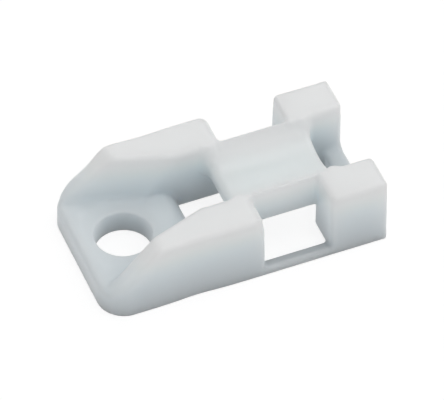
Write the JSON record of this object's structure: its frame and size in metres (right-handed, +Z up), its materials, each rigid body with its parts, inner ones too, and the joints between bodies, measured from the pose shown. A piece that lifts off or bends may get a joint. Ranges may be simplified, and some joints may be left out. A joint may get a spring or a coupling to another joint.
{
  "type": "cable tie mount",
  "caption": "Screw-fixed saddle mount for a cable tie: a plate with a screw hole, two sloping walls and a bridge that the tie passes under lengthwise or crosswise.",
  "frame": {"origin": "axis of the screw hole at the plane of the underside", "axes": "+X along the body from the screw hole to the tie end, +Y across the body, +Z up from the underside, along the screw's axis"},
  "size_m": [0.0228, 0.0122, 0.0059],
  "materials": {
    "natural_nylon": "satin moulded nylon, milky and slightly translucent"
  },
  "bodies": {
    "root": {"mount_body": "natural_nylon"}
  },
  "joints": []
}
